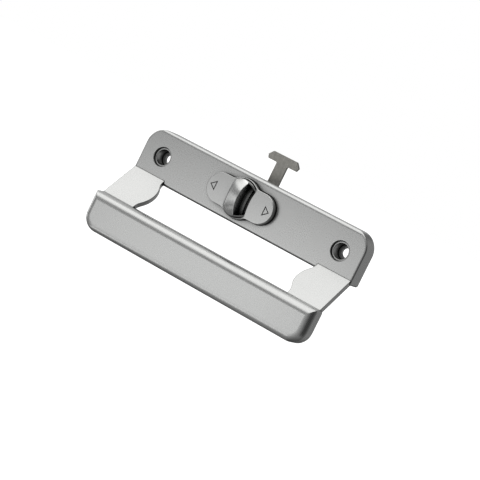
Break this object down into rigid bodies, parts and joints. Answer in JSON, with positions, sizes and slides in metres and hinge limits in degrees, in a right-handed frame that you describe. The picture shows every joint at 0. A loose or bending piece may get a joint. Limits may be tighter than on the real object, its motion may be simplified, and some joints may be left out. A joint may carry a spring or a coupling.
{
  "type": "sliding door lock handle",
  "caption": "Die-cast sliding door pull: mounting plate, two slanting arms, wide grip, and a thumb slider that moves a T-shaped locking tongue sideways.",
  "frame": {"origin": "on the mounting plane, midway between the two screw holes", "axes": "+X along the handle, +Y into the door (the front faces -Y), +Z from the grip towards the tongue"},
  "size_m": [0.123, 0.0425, 0.068],
  "materials": {
    "satin_casting": "fine satin silver, blasted die casting",
    "satin_slider": "fine satin silver",
    "tongue_steel": "stamped steel, warm grey, faint rolling marks",
    "screw_steel": "bright plated",
    "spring_steel": "blued spring steel"
  },
  "bodies": {
    "handle": {"handle_casting": "satin_casting"},
    "slider": {"thumb_slider": "satin_slider", "tongue": "tongue_steel", "tongue_screws": "screw_steel", "friction_spring": "spring_steel"}
  },
  "joints": [
    {"name": "lock_slide", "type": "slide", "parent": "handle", "child": "slider", "axis": [1, 0, 0], "range_m": [0, 0.007]}
  ]
}
